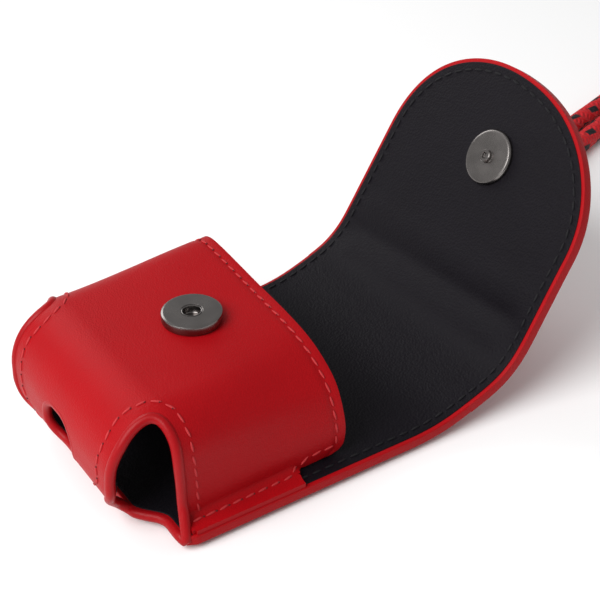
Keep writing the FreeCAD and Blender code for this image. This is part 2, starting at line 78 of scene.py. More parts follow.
Colour = tuple[float, float, float]
Line = list[tuple[Vector, Vector]]  # points, each with the outward normal there

ORIGIN_Y = 65.9  # the frame's origin along the drawing, in mm from the pocket's bottom end
TO_ROW = Matrix.Scale(0.001, 4) @ Matrix.Translation((0.0, -ORIGIN_Y, 0.0))
SIDES = ((1, "near"), (-1, "far"))
LIFT = 0.08  # how far a seam lies above the lining
SEW_PITCH = 3.2  # one stitch and its gap on the pocket
SEAM_PITCH, SEAM_STITCH, SEAM_THREAD = 3.3, 2.5, 0.30  # the sheet's seam


def smoothstep(low: float, high: float, value: float) -> float:
    """Smooth rise from 0 at low to 1 at high.

    Args:
        low: Where the rise starts.
        high: Where the rise ends.
        value: Where to read it.

    Returns:
        A number from 0 to 1.
    """
    t = min(1.0, max(0.0, (value - low) / (high - low)))
    return t * t * (3 - 2 * t)


def rounding(radius: float, reach: float) -> float:
    """How far a corner's arc falls back at a distance past its start."""
    return radius - math.sqrt(max(0.0, radius * radius - reach * reach))


def row(x: float, y: float, z: float) -> Vector:
    """A drawing point in mm as a row-frame point in metres.

    Args:
        x: Across the case.
        y: From the pocket's bottom end.
        z: Height above the floor.

    Returns:
        The point in metres.
    """
    return TO_ROW @ Vector((x, y, z))


# ---------------------------------------------------------------- materials


@dataclass(frozen=True)
class LeatherFinish:
    """One leather: its colours, sheen and grain.

    Attributes:
        deep: Darker colour of the grain's valleys and patches.
        bright: Lighter colour.
        rough: Roughness in the middle of its range.
        coat: Weight of the thin finish on top.
        shine: Specular level.
        grain: Grain cells per metre.
        bump: Height of the grain.
        crease: Strength of long creases.
    """

    deep: Colour
    bright: Colour
    rough: float
    coat: float
    shine: float
    grain: float
    bump: float
    crease: float


class Leather(Enum):
    """The leathers of the case."""

    RED = LeatherFinish(
        (0.285, 0.0018, 0.004), (0.385, 0.0034, 0.0068), 0.42, 0.015, 0.10, 2600.0, 0.09, 0.06)
    RED_EDGE = LeatherFinish(
        (0.27, 0.0018, 0.004), (0.36, 0.0034, 0.0068), 0.38, 0.02, 0.15, 2600.0, 0.05, 0.03)
    BLACK = LeatherFinish(
        (0.0030, 0.0022, 0.0036), (0.0068, 0.0054, 0.0082), 0.50, 0.0, 0.10, 1700.0, 0.14, 0.10)


@dataclass(frozen=True)
class MetalFinish:
    """One metal: its colour, roughness and fine brushing.

    Attributes:
        colour: Base colour.
        rough: Roughness.
        bump: Height of the brushing.
    """

    colour: Colour
    rough: float
    bump: float


class Metal(Enum):
    """The metals of the case."""

    GUNMETAL = MetalFinish((0.205, 0.190, 0.183), 0.26, 0.012)
    STRAP = MetalFinish((0.30, 0.29, 0.28), 0.28, 0.05)
    MAGNET = MetalFinish((0.10, 0.10, 0.10), 0.55, 0.05)


@dataclass(frozen=True)
class ThreadFinish:
    """One sewing thread: its colour between the strands and on them."""

    deep: Colour
    bright: Colour


class Thread(Enum):
    """The threads of the case."""

    RED = ThreadFinish((0.34, 0.012, 0.015), (0.58, 0.050, 0.055))
    BLACK = ThreadFinish((0.003, 0.003, 0.004), (0.012, 0.011, 0.013))


class Sock:
    """A shader output with arithmetic, so that formulas read as formulas."""

    def __init__(self, graph: Graph, out: bpy.types.NodeSocket) -> None:
        """Wraps one output of a graph's node."""
        self.graph = graph
        self.out = out

    def __add__(self, other: Sock | float) -> Sock:
        """This value plus another."""
        return self.graph.math("ADD", self, other)

    def __sub__(self, other: Sock | float) -> Sock:
        """This value less another."""
        return self.graph.math("SUBTRACT", self, other)

    def __mul__(self, other: Sock | float) -> Sock:
        """This value times another."""
        return self.graph.math("MULTIPLY", self, other)

    def __radd__(self, other: float) -> Sock:
        """A number plus this value."""
        return self.graph.math("ADD", other, self)

    def __rsub__(self, other: float) -> Sock:
        """A number less this value."""
        return self.graph.math("SUBTRACT", other, self)

    def __rmul__(self, other: float) -> Sock:
        """A number times this value."""
        return self.graph.math("MULTIPLY", other, self)

    def fract(self) -> Sock:
        """The part after the point."""
        return self.graph.math("FRACT", self)

    def clamp(self, low: float, high: float) -> Sock:
        """This value held between two numbers."""
        return self.graph.math("MINIMUM", self.graph.math("MAXIMUM", self, low), high)

    def step(self, low: float, high: float) -> Sock:
        """Smooth rise from 0 to 1 between two values."""
        node = self.graph.add(
            "ShaderNodeMapRange", {"interpolation_type": "SMOOTHSTEP"},
            {"Value": self, "From Min": low, "From Max": high},
        )
        return Sock(self.graph, node.outputs["Result"])


class Graph:
    """A material's node tree, with one method that makes nodes."""

    def __init__(self, name: str) -> None:
        """Makes an empty material with a shader joined to its output."""
        self.material = bpy.data.materials.new(name)
        self.material.use_nodes = True
        self.tree = self.material.node_tree
        self.tree.nodes.clear()
        self.shader = self.add("ShaderNodeBsdfPrincipled")
        out = self.add("ShaderNodeOutputMaterial")
        self.tree.links.new(self.shader.outputs[0], out.inputs[0])

    def add(self, kind: str, settings: dict | None = None, sockets: dict | None = None) -> bpy.types.Node:
        """Makes one node.

        Args:
            kind: The node's type.
            settings: Attributes to set on it first.
            sockets: Values or links of its inputs, by name or number.

        Returns:
            The node.
        """
        node = self.tree.nodes.new(kind)
        for name, value in (settings or {}).items():
            setattr(node, name, value)
        for name, value in (sockets or {}).items():
            self.link(value, node.inputs[name])
        return node

    def link(self, value: Sock | float | Sequence[float], target: bpy.types.NodeSocket) -> None:
        """Puts a value or another node's output into a socket."""
        if isinstance(value, Sock):
            self.tree.links.new(value.out, target)
        elif target.type == "RGBA" and len(value) == 3:
            target.default_value = (*value, 1.0)
        else:
            target.default_value = value

    def math(self, operation: str, *values: Sock | float) -> Sock:
        """One Math node on one or two values."""
        node = self.add("ShaderNodeMath", {"operation": operation}, dict(enumerate(values)))
        return Sock(self, node.outputs[0])

    def coords(self, scale: Sequence[float] = (1, 1, 1)) -> Sock:
        """Object coordinates with a factor along each axis."""
        source = self.add("ShaderNodeTexCoord")
        at = Sock(self, source.outputs["Object"])
        return Sock(self, self.add("ShaderNodeMapping", None, {"Vector": at, "Scale": scale}).outputs[0])

    def noise(self, at: Sock, scale: float, detail: float = 4.0, rough: float = 0.5) -> Sock:
        """A noise texture's value."""
        sockets = {"Vector": at, "Scale": scale, "Detail": detail, "Roughness": rough}
        return Sock(self, self.add("ShaderNodeTexNoise", None, sockets).outputs["Fac"])

    def cells(self, at: Sock, scale: float) -> Sock:
        """A Voronoi texture's distance to its nearest point."""
        node = self.add("ShaderNodeTexVoronoi", {"feature": "F1"}, {"Vector": at, "Scale": scale})
        return Sock(self, node.outputs["Distance"])

    def blend(self, factor: Sock, low: Sock | Colour, high: Colour) -> Sock:
        """Two colours mixed by a factor; a colour Mix node has them in sockets 6 and 7."""
        node = self.add("ShaderNodeMix", {"data_type": "RGBA"}, {0: factor, 6: low, 7: high})
        return Sock(self, node.outputs[2])

    def bump(self, height: Sock, strength: float, distance: float = 0.0004) -> None:
        """Puts a height into the shader's normal."""
        sockets = {"Height": height, "Strength": strength, "Distance": distance}
        node = self.add("ShaderNodeBump", None, sockets)
        self.tree.links.new(node.outputs[0], self.shader.inputs["Normal"])

    def put(self, **values: Sock | float | Sequence[float]) -> None:
        """Sets the shader's inputs; an underscore stands for a space."""
        for name, value in values.items():
            self.link(value, self.shader.inputs[name.replace("_", " ")])


def leather(name: str, finish: LeatherFinish) -> bpy.types.Material:
    """Grained leather with a thin finish, faint patches and soft creases.

    Args:
        name: The material's name.
        finish: Its colours and grain.

    Returns:
        The material.
    """
    g = Graph(name)
    at = g.coords()
    grain = g.cells(at, finish.grain)
    fine = g.noise(at, finish.grain * 1.7, 3.0)
    patch = g.noise(at, 55.0, 3.0, 0.55)
    crease = g.noise(g.coords((1.0, 2.2, 1.2)), 190.0, 5.0, 0.62)
    tone = (patch * 0.6 + grain * 0.35 + fine * 0.15).clamp(0.0, 1.0)
    g.put(
        Base_Color=g.blend(tone, finish.deep, finish.bright),
        Roughness=(patch * 0.16 + grain * 0.10 + (finish.rough - 0.11)).clamp(0.05, 1.0),
        Coat_Weight=finish.coat,
        Coat_Roughness=0.28,
        Specular_IOR_Level=finish.shine,
    )
    g.bump(grain * 0.8 + fine * 0.4 + crease * (finish.crease * 6.0), finish.bump * 2.2)
    return g.material


def metal(name: str, finish: MetalFinish) -> bpy.types.Material:
    """Dark plated metal with fine brushing.

    Args:
        name: The material's name.
        finish: Its colour and roughness.

    Returns:
        The material.
    """
    g = Graph(name)
    at = g.coords()
    fine = g.noise(at, 3500.0, 3.0)
    smear = g.noise(at, 240.0, 3.0)
    dull, clear = (tuple(c * k for c in finish.colour) for k in (0.85, 1.15))
    g.put(
        Base_Color=g.blend(smear, dull, clear),
        Roughness=(smear * 0.12 + (finish.rough - 0.06)).clamp(0.05, 1.0),
        Metallic=1.0,
    )
    g.bump(fine, finish.bump)
    return g.material


def thread(name: str, finish: ThreadFinish) -> bpy.types.Material:
    """Twisted sewing thread.

    Args:
        name: The material's name.
        finish: Its colours.

    Returns:
        The material.
    """
    g = Graph(name)
    twist = g.noise(g.coords(), 4200.0, 2.0)
    g.put(Base_Color=g.blend(twist, finish.deep, finish.bright), Roughness=0.65, Specular_IOR_Level=0.2)
    g.bump(twist, 0.4)
    return g.material


def braid(name: str) -> bpy.types.Material:
    """Round braided cord: crossing strands, red with dark flecks, read from its UV.

    Args:
        name: The material's name.

    Returns:
        The material.
    """
    g = Graph(name)
    source = g.add("ShaderNodeTexCoord")
    split = g.add("ShaderNodeSeparateXYZ", None, {0: Sock(g, source.outputs["UV"])})
    around, along = Sock(g, split.outputs[0]), Sock(g, split.outputs[1])
    ridge = g.math("ABSOLUTE", (around * 8.0 + along * 8.0).fract() - 0.5) * 2.0
    cross = g.math("ABSOLUTE", (around * 8.0 - along * 8.0).fract() - 0.5) * 2.0
    over = (around * 4.0 + along * 4.0).fract().step(0.45, 0.55)
    height = ridge * over + cross * (1.0 - over)
    strand = around * 4.0 + along * 0.8
    run = (along * 2.0 + g.math("FLOOR", strand) * 0.37).fract()
    dash = (run.step(0.50, 0.56) - run.step(0.92, 0.98)).clamp(0.0, 1.0)
    fleck = strand.fract().step(0.50, 0.58) * dash
    wool = g.noise(g.coords(), 900.0, 3.0)
    red = g.blend(wool, (0.42, 0.006, 0.010), (0.62, 0.016, 0.022))
    g.put(Base_Color=g.blend(fleck, red, (0.012, 0.010, 0.012)), Roughness=0.62, Specular_IOR_Level=0.25)
    g.bump(wool * 0.2 - height, 0.7, 0.0005)
    return g.material


def plain(name: str, colour: Colour, rough: float) -> bpy.types.Material:
    """A dull, slightly fibrous material for pieces that hardly show.

    Args:
        name: The material's name.
        colour: Base colour.
        rough: Roughness.

    Returns:
        The material.
    """
    g = Graph(name)
    fibre = g.noise(g.coords(), 900.0, 4.0)
    g.put(Base_Color=g.blend(fibre, tuple(c * 0.8 for c in colour), colour), Roughness=rough)
    g.bump(fibre, 0.2)
    return g.material


class Palette:
    """Every material of the case."""

    def __init__(self) -> None:
        """Makes every material once."""
        self.red = leather("red_leather", Leather.RED.value)
        self.edge = leather("red_edge", Leather.RED_EDGE.value)
        self.black = leather("black_lining", Leather.BLACK.value)
        self.gun = metal("gunmetal", Metal.GUNMETAL.value)
        self.steel = metal("strap_metal", Metal.STRAP.value)
        self.magnet = metal("magnet", Metal.MAGNET.value)
        self.red_thread = thread("red_thread", Thread.RED.value)
        self.black_thread = thread("black_thread", Thread.BLACK.value)
        # dark red material that paints the shade in the needle holes between the stitches
        self.hole_shade = plain("needle_hole_shade", (0.10, 0.004, 0.006), 0.9)
        self.board = plain("stiffener", (0.35, 0.30, 0.24), 0.85)
        self.cord = braid("braided_cord")

    def dress(self, frame: dict) -> None:
        """Gives every CAD node the material of its slot.

        Args:
            frame: The loaded frame.
        """
        by_slot = {
            "red_leather": self.red, "black_lining": self.black, "stiffener": self.board,
            "gunmetal": self.gun, "magnet": self.magnet, "strap_metal": self.steel,
            "braided_cord": self.cord,
        }
        slots = {s["node"]: s["material_slot"] for s in frame["record"]["subparts"]}
        for name, node in frame["nodes"].items():
            made = node if isinstance(node, bpy.types.Object) else bpy.data.objects[name]
            if made.type != "MESH":
                continue
            material = by_slot[slots[name]]
            if not made.data.materials:
                made.data.materials.append(material)
            for place in made.material_slots:
                place.material = material


# ---------------------------------------------------------------- mesh helpers


def piece(
    name: str, bm: bmesh.types.BMesh, material: bpy.types.Material, sharp: float = 40.0,
) -> bpy.types.Object:
    """Turns a bmesh drawn in mm into a piece in the row frame.

    Args:
        name: The piece's name.
        bm: The mesh, freed here.
        material: Its material.
        sharp: Edges that turn more than this, in degrees, stay sharp.

    Returns:
        The object.
    """
    bm.transform(TO_ROW)
    bmesh.ops.recalc_face_normals(bm, faces=bm.faces)
    for face in bm.faces:
        face.smooth = True
    for edge in bm.edges:
        edge.smooth = not (len(edge.link_faces) == 2 and edge.calc_face_angle(0.0) > math.radians(sharp))
    mesh = bpy.data.meshes.new(name)
    bm.to_mesh(mesh)
    bm.free()
    mesh.materials.append(material)
    made = bpy.data.objects.new(name, mesh)
    bpy.context.scene.collection.objects.link(made)
    log.info("made %s", name)
    return made


def solidified(bm: bmesh.types.BMesh, thick: float) -> bmesh.types.BMesh:
    """A sheet given a thickness below its face.

    Args:
        bm: The sheet, freed here.
        thick: The thickness.

    Returns:
        The new mesh.
    """
    mesh = bpy.data.meshes.new("work")
    bm.to_mesh(mesh)
    bm.free()
    made = bpy.data.objects.new("work", mesh)
    bpy.context.scene.collection.objects.link(made)
    modifier = made.modifiers.new("work", "SOLIDIFY")
    modifier.thickness = thick
    modifier.offset = -1.0
    result = made.evaluated_get(bpy.context.evaluated_depsgraph_get()).to_mesh()
    out = bmesh.new()
    out.from_mesh(result)
    bpy.data.objects.remove(made)
    bpy.data.meshes.remove(mesh)
    return out


def tube(
    points: Sequence[Vector], radius: float, sides: int, closed: bool = False, uv_scale: float = 0.0,
) -> bmesh.types.BMesh:
    """A tube along points, its rings extruded one after another.

    Args:
        points: Middle line in mm.
        radius: Radius in mm.
        sides: Number of sides.
        closed: Whether the line closes on itself.
        uv_scale: Rings get UVs, one unit along for this many mm, if not 0.

    Returns:
        The mesh.
    """
    bm = bmesh.new()
    n = len(points)
    up = Vector((0, 0, 1))
    corners = [2 * math.pi * k / sides for k in range(sides)]
    unit = [Vector((math.cos(a), math.sin(a), 0)) for a in corners]
    layer = bm.loops.layers.uv.new("UVMap")
    rings, lengths = [], [0.0]
    for i in range(n):
        if i:
            lengths.append(lengths[-1] + (points[i] - points[i - 1]).length)
        if closed:
            way = points[(i + 1) % n] - points[i - 1]
        else:
            way = points[min(i + 1, n - 1)] - points[max(i - 1, 0)]
        way.normalize()
        side = way.cross(up).normalized()
        up = side.cross(way).normalized()
        turn = Matrix((side, up, way)).transposed().to_4x4()
        place = Matrix.Translation(points[i]) @ turn @ Matrix.Scale(radius, 4)
        if i == 0:
            ring = bmesh.ops.create_circle(bm, segments=sides, radius=1.0)["verts"]
        else:
            grown = bmesh.ops.extrude_edge_only(bm, edges=ring_edges)["geom"]
            fresh = [g for g in grown if isinstance(g, bmesh.types.BMVert)]
            order = {
                next(e.other_vert(v) for e in v.link_edges if e.other_vert(v) in last): v for v in fresh
            }
            ring = [order[v] for v in ring]
        for vert, corner in zip(ring, unit):
            vert.co = place @ corner
        last = set(ring)
        around = {e for v in ring for e in v.link_edges}
        ring_edges = [e for e in around if e.verts[0] in last and e.verts[1] in last]
        rings.append(ring)
    if uv_scale:
        where = {v: (k, i) for i, ring in enumerate(rings) for k, v in enumerate(ring)}
        for face in bm.faces:
            ks = [where[loop.vert][0] for loop in face.loops]
            for loop, k in zip(face.loops, ks):
                u = k + sides if k == 0 and max(ks) == sides - 1 else k
                loop[layer].uv = (u / sides, lengths[where[loop.vert][1]] / uv_scale)
    if closed:
        bmesh.ops.bridge_loops(bm, edges=[e for e in bm.edges if len(e.link_faces) == 1])
    else:
        bmesh.ops.holes_fill(bm, edges=[e for e in bm.edges if e.is_boundary], sides=0)
    return bm


def resample(points: Sequence[Vector], step: float, closed: bool = False) -> list[Vector]:
    """Evenly spaced points on a polyline.

    Args:
        points: The polyline.
        step: Wanted spacing.
        closed: Whether it closes on itself.

    Returns:
        The new points.
    """
    line = list(points) + ([points[0]] if closed else [])
    total = sum((b - a).length for a, b in zip(line, line[1:]))
    count = max(2, round(total / step))
    gap, out, walked, target = total / count, [], 0.0, 0.0
    for a, b in zip(line, line[1:]):
        span = (b - a).length
        while target <= walked + span + 1e-9 and len(out) < count + 1:
            out.append(a.lerp(b, (target - walked) / span if span else 0.0))
            target += gap
        walked += span
    return out[:-1] if closed else out


def curve_through(knots: Sequence[Sequence[float]], per: int = 8, closed: bool = False) -> list[Vector]:
    """A smooth Catmull-Rom line through knots.

    Args:
        knots: The points it passes.
        per: Points between two knots.
        closed: Whether it closes on itself.

    Returns:
        The line.
    """
    pts = [Vector(k) for k in knots]
    if closed:
        pts = [pts[-1], *pts, pts[0], pts[1]]
    else:
        pts = [pts[0] * 2 - pts[1], *pts, pts[-1] * 2 - pts[-2]]
    out = []
    for a, b, c, d in zip(pts, pts[1:], pts[2:], pts[3:]):
        for i in range(per):
            t = i / per
            square, cube = a * 2 - b * 5 + c * 4 - d, b * 3 - a - c * 3 + d
            out.append(0.5 * ((b * 2) + (c - a) * t + square * t * t + cube * t**3))
    return out if closed else out + [pts[-2]]


def steps(low: float, high: float, count: int) -> list[float]:
    """Evenly spaced numbers from low to high."""
    return [low + (high - low) * i / count for i in range(count + 1)]


def stitches(
    name: str, line: Line, pitch: float, length: float, radius: float,
    material: bpy.types.Material, slot: str, slant: float = 0.0,
) -> bpy.types.Object:
    """A row of sewn stitches, each a short plump thread that dips into the leather at its ends.

    Args:
        name: The piece's name.
        line: Points on the surface with the surface's outward normal there, in mm.
        pitch: Distance from one stitch to the next.
        length: Length of one stitch.
        radius: Thickness of the thread.
        material: The thread.
        slot: Not used.
        slant: How far each stitch turns out of the line, in degrees.

    Returns:
        The piece.
    """
    rng = random.Random(name)
    bm = bmesh.new()
    places = [p for p, _ in line]
    for middle in resample(places, pitch):
        k = min(range(len(places)), key=lambda j: (places[j] - middle).length_squared)
        way = (places[min(len(places) - 1, k + 1)] - places[max(0, k - 1)]).normalized()
        side = line[k][1].normalized().cross(way).normalized()
        up = way.cross(side).normalized()
        turn = Matrix((way, side, up)).transposed().to_4x4()
        yaw = Matrix.Rotation(math.radians(slant + rng.uniform(-2.5, 2.5)), 4, "Z")
        size = Matrix.Diagonal((length / 2 * rng.uniform(0.94, 1.04), radius, radius * 0.8, 1.0))
        place = Matrix.Translation(middle) @ Matrix.Translation(up * (radius * 0.22)) @ turn @ yaw @ size
        bmesh.ops.create_icosphere(bm, subdivisions=2, radius=1.0, matrix=place)
    return piece(name, bm, material)


# ---------------------------------------------------------------- the sheet


def bend_back(made: bpy.types.Object) -> None:
    """Bakes a piece's placement into its mesh."""
    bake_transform(made)


def bend_front(made: bpy.types.Object) -> None:
    """Bakes a piece's placement into its mesh."""
    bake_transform(made)


@dataclass
class Sheet:
    """The long sheet of leather, board and lining, drawn flat and then folded, in mm.

    Attributes:
        half: Half its width.
        thick: Leather, board and lining together.
        split: Where its two halves part, along it.
        tip_start: Where the flap's round end begins.
        tip_reach: How far the round end reaches.
        edge: How far the lining stops inside the leather's edge.
        lining_top: Height of the lining's face above the floor.
        seam: Distance of the seam from the edge.
        step: Spacing of the table of the folded line.
        table: The folded line, one place for each step.
    """

    half: float = 36.6
    thick: float = 2.7
    split: float = 88.5
    tip_start: float = 130.0
    tip_reach: float = 30.1
    edge: float = 0.95
    lining_top: float = 3.9
    seam: float = 2.9
    step: float = 0.25
    table: list[tuple[float, float]] = field(default_factory=list)

    def __post_init__(self) -> None:
        """Works out the folded line in short steps."""
        y, z = 0.0, self.lining_top
        self.table.append((y, z))
        for i in range(int(175 / self.step)):
            a = math.radians(self.angle((i + 0.5) * self.step))
            y, z = y + math.cos(a) * self.step, z + math.sin(a) * self.step
            self.table.append((y, z))

    @staticmethod
    def angle(s: float) -> float:
        """Slope in degrees at a length along the sheet."""
        return 20.5 * smoothstep(68, 88, s) + 37.1 * smoothstep(89, 108, s)

    def fold(self, x: float, s: float, h: float) -> Vector:
        """Where a point of the flat sheet lies, in mm.

        Args:
            x: Across the sheet.
            s: Along it.
            h: Above the lining's face.

        Returns:
            The point.
        """
        s = s - 0.05 * x * (smoothstep(60, 90, s) + smoothstep(118, 150, s))
        h += self.crease(x, s)
        x -= 0.035 * max(0.0, x) * smoothstep(95, 135, s)
        i = min(max(s / self.step, 0.0), len(self.table) - 2.0)
        k = int(i)
        (y0, z0), (y1, z1) = self.table[k], self.table[k + 1]
        y, z = y0 + (y1 - y0) * (i - k), z0 + (z1 - z0) * (i - k)
        a = math.radians(self.angle(s))
        return Vector((x, y - h * math.sin(a), z + h * math.cos(a)))

    @staticmethod
    def crease(x: float, s: float) -> float:
        """Soft fold across the flap, deeper in the middle, with a low ridge on each side."""
        off = s - (107.0 + 0.06 * x)
        valley = math.exp(-((off / 2.4) ** 2))
        ridge = math.exp(-(((off + 6.0) / 3.2) ** 2)) + 0.7 * math.exp(-(((off - 6.5) / 3.5) ** 2))
        return (0.42 * ridge - 0.55 * valley) * (1 - smoothstep(27, 36, abs(x)))

    def start(self, x: float) -> float:
        """Where the back panel begins: it reaches further between the open corners."""
        corner = max(0.0, abs(x) - (self.half - 3.0))
        return 5.9 + 5.0 * smoothstep(20.0, 28.5, abs(x)) + rounding(3.0, corner)

    def panel_point(self, u: float, v: float, inset: float) -> tuple[float, float]:
        """Flat place of a grid point of the back panel and half the spine."""
        x = u * (self.half - inset)
        low = self.start(x) + inset
        return x, low + (self.split - low) * v

    def flap_point(self, u: float, v: float, inset: float) -> tuple[float, float]:
        """Flat place of a grid point of half the spine and the round-ended flap."""
        straight, power = 0.56, 2.12
        if v <= straight:
            return u * (self.half - inset), self.split + (self.tip_start - self.split) * v / straight
        w = (v - straight) / (1 - straight)
        p, q = u * math.sqrt(1 - w * w / 2), w * math.sqrt(1 - u * u / 2)
        r = math.hypot(p, q)
        if r > 1e-6:
            grow = (abs(p / r) ** power + abs(q / r) ** power) ** (-1 / power)
            grow = 1 + (grow - 1) * r
            p, q = p * grow, q * grow
        return p * (self.half - inset), self.tip_start + q * (self.tip_reach - inset)

    def layer(
        self, point: Callable[[float, float, float], tuple[float, float]], inset: float, top: float,
        thick: float, bevel: float, along: int,
    ) -> bmesh.types.BMesh:
        """One flat layer with rounded rims, folded into place.

        Args:
            point: Maps the unit grid onto the flat outline.
            inset: How far inside the sheet's edge it stops.
            top: Height of its upper face.
            thick: Its thickness.
            bevel: Rounding of its rims.
            along: Grid cells along it.

        Returns:
            The mesh in mm.
        """
        bm = bmesh.new()
        bmesh.ops.create_grid(bm, x_segments=70, y_segments=along, size=1.0)
        for v in bm.verts:
            x, s = point(v.co.x, (v.co.y + 1) / 2, inset)
            v.co = Vector((x, s, top))
        bm = solidified(bm, thick)
        rims = [
            e for e in bm.edges
            if len(e.link_faces) == 2 and e.calc_face_angle(0.0) > 1.0
            and not all(abs(v.co.y - self.split) < 0.01 for v in e.verts)
            and abs(e.verts[0].co.z - e.verts[1].co.z) < 0.01
        ]
        bmesh.ops.bevel(
            bm, geom=rims, offset=bevel, segments=4, profile=0.5, affect="EDGES", clamp_overlap=True,
            material=-1,
        )
        for v in bm.verts:
            v.co = self.fold(*v.co)
        return bm

    def seam_line(self, flap: bool, side: int, low: float, outside: bool) -> Line:
        """The seam's path on the folded sheet, at a distance inside its edge.

        Args:
            flap: Whether it goes round the flap, or else along the back panel.
            side: 1 or -1 turns the panel's line to its near or far side.
            low: Where the line begins along the sheet.
            outside: Whether it lies on the leather, or else on the lining.

        Returns:
            The line.
        """
        if flap:
            edge = [self.flap_point(1.0, i / 60, self.seam) for i in range(61)]
            end = [self.flap_point(1 - 2 * i / 60, 1.0, self.seam) for i in range(61)]
            flat = edge + end[1:] + [(-x, s) for x, s in reversed(edge[:-1])]
        else:
            flat = [self.panel_point(1.0, i / 60, self.seam) for i in range(61)]
        height, turn = (-self.thick, -1.0) if outside else (LIFT, 1.0)
        out = []
        for x, s in flat:
            if s > low:
                normal = self.fold(side * x, s, 1.0) - self.fold(side * x, s, 0.0)
                out.append((self.fold(side * x, s, height), normal * turn))
        return out

    def build(self, looks: Palette, sewn_to: float) -> None:
        """Makes the back panel, spine and flap: leather, lining and seams.

        Args:
            looks: The materials.
            sewn_to: How far along the sheet the pocket's flanges cover the lining.
        """
        body, cover = (0.0, -0.15, self.thick - 0.15, 0.75), (self.edge, 0.05, 0.7, 0.22)
        panel = piece("panel_skin", self.layer(self.panel_point, *body, 90), looks.red)
        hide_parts("back_panel_leather", "back_panel_board")
        bend_back(panel)
        flap = piece("flap_skin", self.layer(self.flap_point, *body, 96), looks.red)
        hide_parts("spine_leather", "spine_board", "flap_leather", "flap_board")
        bend_front(flap)
        made = piece("panel_lining", self.layer(self.panel_point, *cover, 90), looks.black)
        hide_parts("back_panel_lining")
        bend_back(made)
        lined = self.layer(self.flap_point, *cover, 96)
        made = piece("flap_lining_cover", lined, looks.black)
        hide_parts("spine_lining", "flap_lining")
        bend_front(made)
        size = (SEAM_PITCH, SEAM_STITCH, SEAM_THREAD)
        black, red = (looks.black_thread, "black_lining"), (looks.red_thread, "red_leather")
        bend_front(stitches("flap_stitches", self.seam_line(True, 1, 0.0, False), *size, *black))
        bend_front(stitches("flap_outer_stitches", self.seam_line(True, 1, 0.0, True), *size, *red))
        for side, tag in SIDES:
            line = self.seam_line(False, side, sewn_to + 1, False)
            bend_back(stitches(f"panel_stitches_{tag}", line, *size, *black))
            line = self.seam_line(False, side, 14.0, True)
            bend_back(stitches(f"panel_outer_stitches_{tag}", line, *size, *red))


# ---------------------------------------------------------------- the pocket

# the mouth's section as (x, height), from the far foot over the slumped top to the near foot
MOUTH_SECTION = [
    (-31.4, 4.5), (-32.2, 9.5), (-32.4, 15.0), (-32.2, 21.0), (-31.6, 25.8), (-29.6, 29.6), (-26.6, 31.2),
    (-22.5, 31.5), (-15.0, 31.0), (-2.7, 29.9), (7.0, 29.2), (15.0, 28.0), (21.4, 25.6), (27.4, 21.3),
    (30.6, 15.2), (31.6, 9.9), (31.0, 4.5),
]

# an open corner's outline as (distance across the corner's diagonal, height)
ARCH = [
    (-8.9, 4.0), (-7.5, 8.0), (-6.3, 12.5), (-6.1, 17.0), (-5.0, 21.1), (-3.4, 24.5), (-1.7, 27.2),
    (0.3, 28.7), (2.3, 29.3), (4.5, 28.9), (6.4, 27.5), (7.9, 25.2), (8.7, 22.0), (9.0, 17.6),
    (9.1, 11.8), (9.1, 4.6),
]
ACROSS = Vector((0.677, 0.7355, 0.0))
OUTWARD = Vector((0.7355, -0.677, 0.0))
DIAGONAL_MIDDLE = Vector((26.3, 6.3, 0.0))


